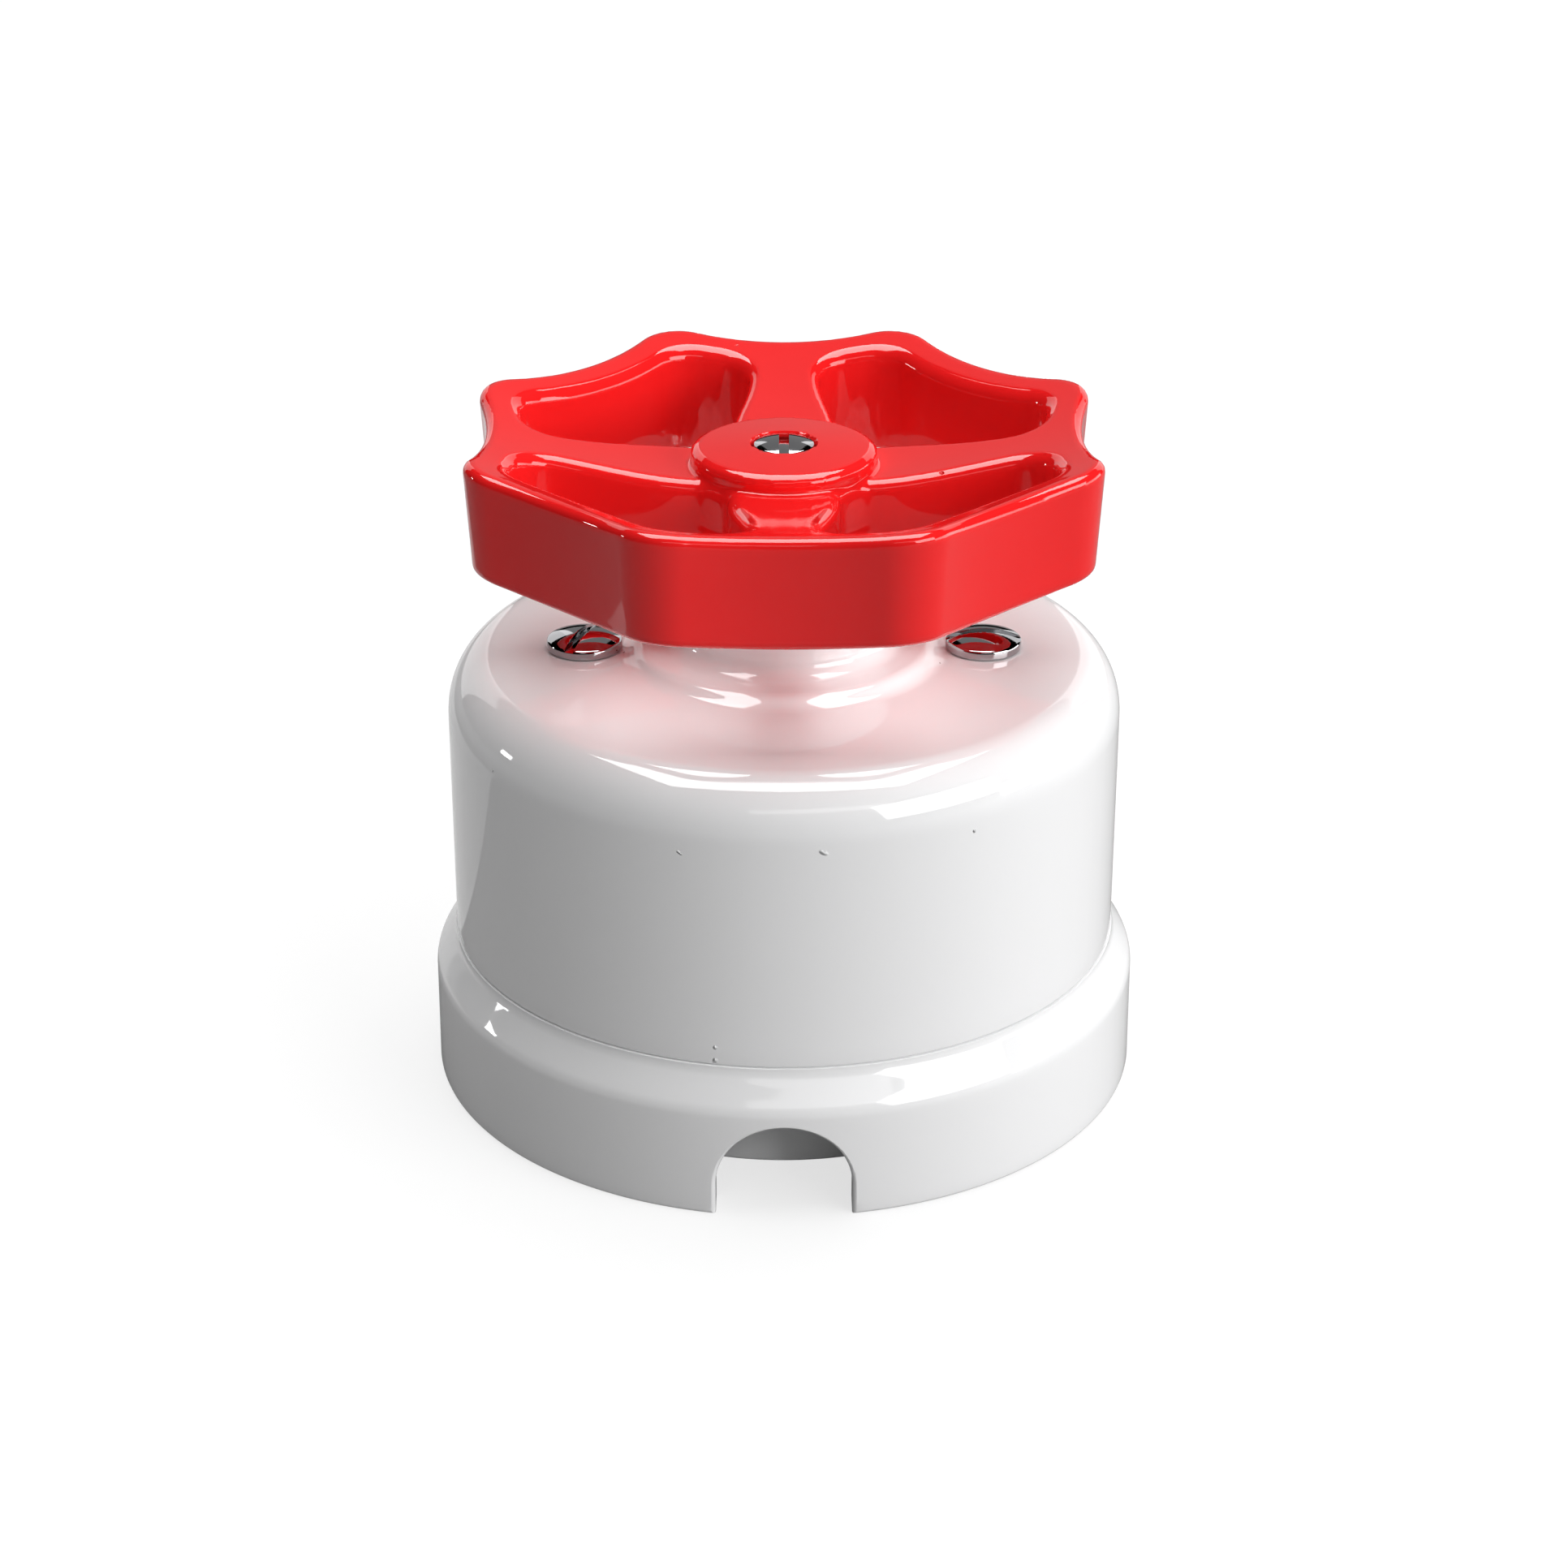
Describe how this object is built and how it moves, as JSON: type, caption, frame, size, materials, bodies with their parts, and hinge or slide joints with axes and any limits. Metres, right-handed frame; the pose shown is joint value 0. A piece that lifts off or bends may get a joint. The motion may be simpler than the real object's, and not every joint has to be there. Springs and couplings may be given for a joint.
{
  "type": "light switch",
  "caption": "Surface rotary light switch of white porcelain with an arched cable notch and a red handwheel knob.",
  "frame": {"origin": "centre of the foot's underside, on the wall", "axes": "+Z away from the wall along the knob's axis, the cable notch faces -Y"},
  "size_m": [0.07, 0.07, 0.0658],
  "materials": {
    "porcelain": "white high-gloss glaze",
    "red_glaze": "red high-gloss glaze",
    "chrome": "polished chrome plate",
    "brass": "bright turned and pressed brass",
    "steel": "zinc-plated steel",
    "moulding": "dark brown phenolic moulding",
    "fibre": "vulcanised fibre sheet"
  },
  "bodies": {
    "housing": {"base": "porcelain", "cover": "porcelain", "cover_screws": "chrome", "cover_bush": "brass", "cover_posts": "brass", "post_washers": "steel", "post_nuts": "steel", "bridge_plate": "steel", "plate_rivets": "steel", "switch_block": "moulding", "insulating_sheet": "fibre", "terminal_common": "brass", "terminal_one": "brass", "terminal_two": "brass", "terminal_screws": "steel", "front_leaf_spring": "steel", "rear_leaf_spring": "steel"},
    "knob_assembly": {"knob": "red_glaze", "knob_screw": "chrome", "spindle": "steel", "retaining_clip": "steel", "rotor": "moulding", "moving_contact": "brass"}
  },
  "joints": [
    {"name": "knob_turn", "type": "hinge", "parent": "housing", "child": "knob_assembly", "pos_m": [0, 0, 0.058], "axis": [0, 0, 1], "continuous": true, "deforming": ["front_leaf_spring", "rear_leaf_spring"]}
  ]
}
